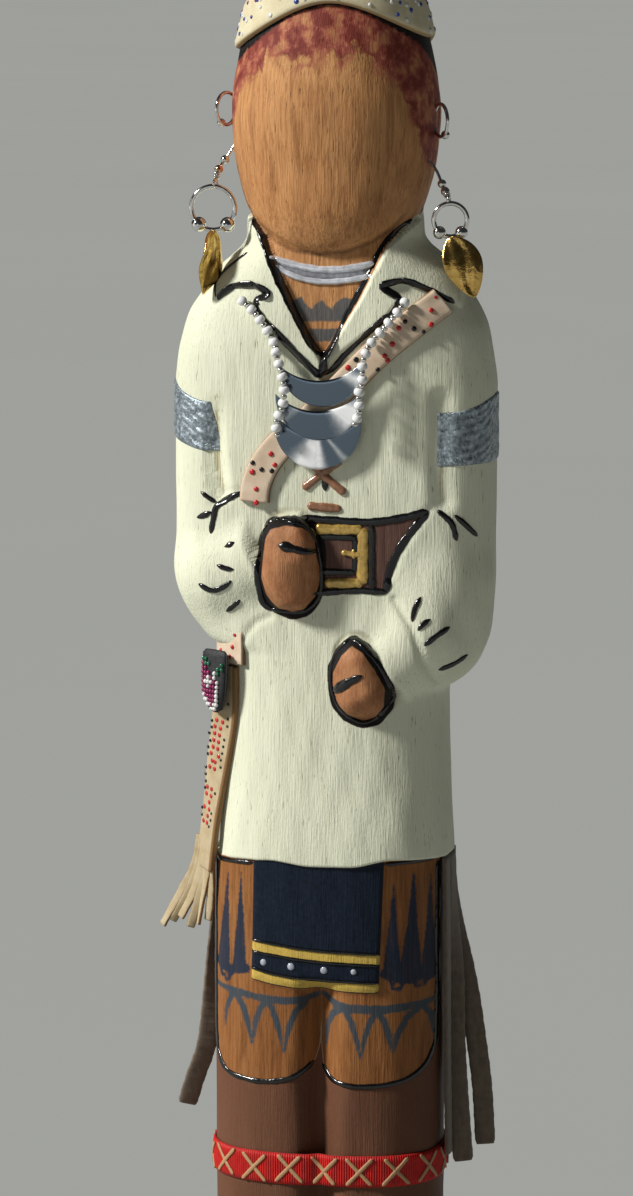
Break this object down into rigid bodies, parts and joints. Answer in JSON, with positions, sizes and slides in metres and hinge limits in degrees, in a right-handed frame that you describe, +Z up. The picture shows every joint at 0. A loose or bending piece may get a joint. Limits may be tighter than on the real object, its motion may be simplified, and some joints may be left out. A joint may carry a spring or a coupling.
{
  "type": "faceless art doll",
  "caption": "Carved wooden art doll with a plain face, in a cream shirt, sash, gorgets, earrings, pouch and laces, standing on a low round base.",
  "frame": {"origin": "middle of the base's underside, on the surface that the doll stands on", "axes": "+Z up along the figure, the doll faces -Y, +X towards its left arm"},
  "size_m": [0.108, 0.108, 0.409],
  "materials": {
    "painted_wood": "carved wood, part painted and part stained, satin",
    "base_wood": "turned wood, stained, satin",
    "hide": "soft tanned hide, matte, with painted dots",
    "ribbon": "woven ribbon, ribbed",
    "seed_beads": "opaque white beads with small silver spacers",
    "sheet_silver": "polished sheet metal",
    "dark_leather": "dark leather with beadwork",
    "silver": "polished wire and balls",
    "gold": "polished twisted leaf",
    "suede": "suede lace, matte"
  },
  "bodies": {
    "root": {"carved_figure": "painted_wood", "base": "base_wood", "headband": "hide", "chest_sash": "hide", "hip_sash_end": "hide", "garter_ribbon": "ribbon", "bead_strand_left": "seed_beads", "bead_strand_right": "seed_beads", "gorget_bottom": "sheet_silver", "gorget_middle": "sheet_silver", "gorget_top": "sheet_silver", "pouch": "dark_leather", "sash_tail": "hide", "ear_hoop_left": "silver", "ear_hoop_right": "silver", "ear_drop_left": "silver", "ear_drop_right": "silver", "ear_ring_left": "silver", "ear_ring_right": "silver", "ear_leaf_left": "gold", "ear_leaf_right": "gold", "lace_left": "suede", "lace_right_near": "suede", "lace_right_middle": "suede", "lace_right_outer": "suede"}
  },
  "joints": []
}
